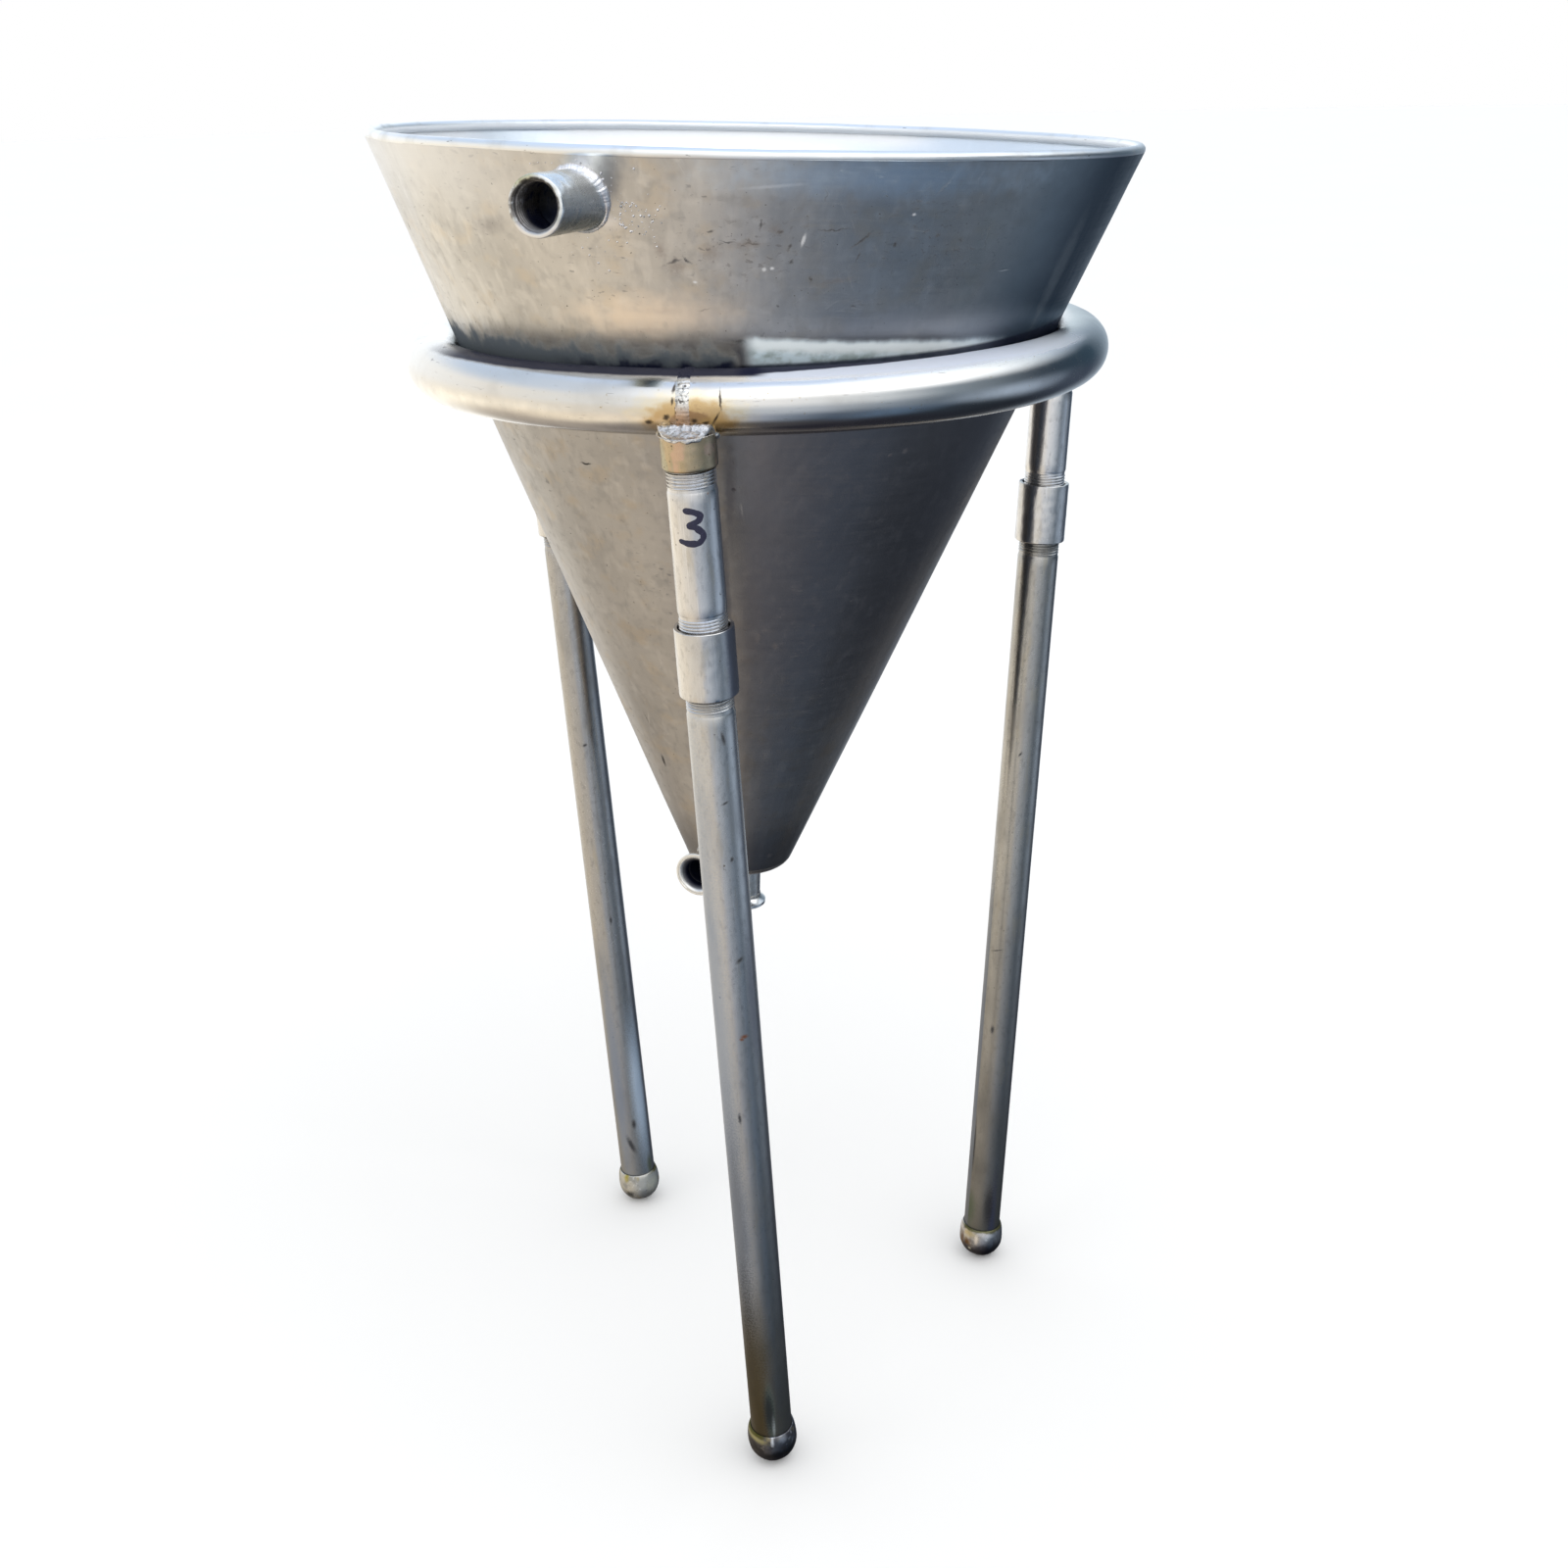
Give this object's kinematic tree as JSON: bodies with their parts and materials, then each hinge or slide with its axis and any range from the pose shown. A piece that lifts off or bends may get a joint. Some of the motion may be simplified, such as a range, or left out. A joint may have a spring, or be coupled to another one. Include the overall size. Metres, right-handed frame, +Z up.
{
  "type": "conical hopper tank on a tripod pipe stand",
  "caption": "Open conical stainless hopper tank with a side inlet, a side outlet and a bottom outlet, held in a tube ring on a splayed pipe tripod with screwed couplings.",
  "frame": {"origin": "on the floor, below the middle of the whole part", "axes": "+Z up; the front leg and both side connections are on the -Y side, the right leg towards +X"},
  "size_m": [0.5633, 0.5854, 1.0492],
  "materials": {
    "shell_steel": "satin rolled sheet, scratched",
    "cone_steel": "dull brushed sheet",
    "bright_steel": "polished tube",
    "fitting_steel": "turned, lightly soiled",
    "tinted_steel": "heat tinted by welding",
    "zinc_pipe": "dull pipe, soiled",
    "worn_cap": "worn and stained"
  },
  "bodies": {
    "root": {"rim_bead": "bright_steel", "upper_shell_front_left": "shell_steel", "upper_shell_front_right": "shell_steel", "upper_shell_right": "shell_steel", "upper_shell_back_right": "shell_steel", "upper_shell_back_left": "shell_steel", "upper_shell_left": "shell_steel", "lower_cone_front_left": "cone_steel", "lower_cone_front_right": "cone_steel", "lower_cone_right": "cone_steel", "lower_cone_back_right": "cone_steel", "lower_cone_back_left": "cone_steel", "lower_cone_left": "cone_steel", "lower_cone_end": "cone_steel", "dished_bottom": "cone_steel", "inlet_socket": "fitting_steel", "side_outlet_pipe": "fitting_steel", "side_outlet_ferrule": "fitting_steel", "bottom_outlet_pipe": "fitting_steel", "bottom_outlet_ferrule": "fitting_steel", "ring_arc_front_right": "bright_steel", "ring_arc_right_back": "bright_steel", "ring_arc_back_front": "bright_steel", "front_leg_socket": "tinted_steel", "right_leg_socket": "tinted_steel", "back_leg_socket": "tinted_steel", "front_nipple": "zinc_pipe", "right_nipple": "zinc_pipe", "back_nipple": "zinc_pipe", "front_coupling": "zinc_pipe", "right_coupling": "zinc_pipe", "back_coupling": "zinc_pipe", "front_leg_pipe": "zinc_pipe", "right_leg_pipe": "zinc_pipe", "back_leg_pipe": "zinc_pipe", "front_foot_cap": "worn_cap", "right_foot_cap": "worn_cap", "back_foot_cap": "worn_cap"}
  },
  "joints": []
}
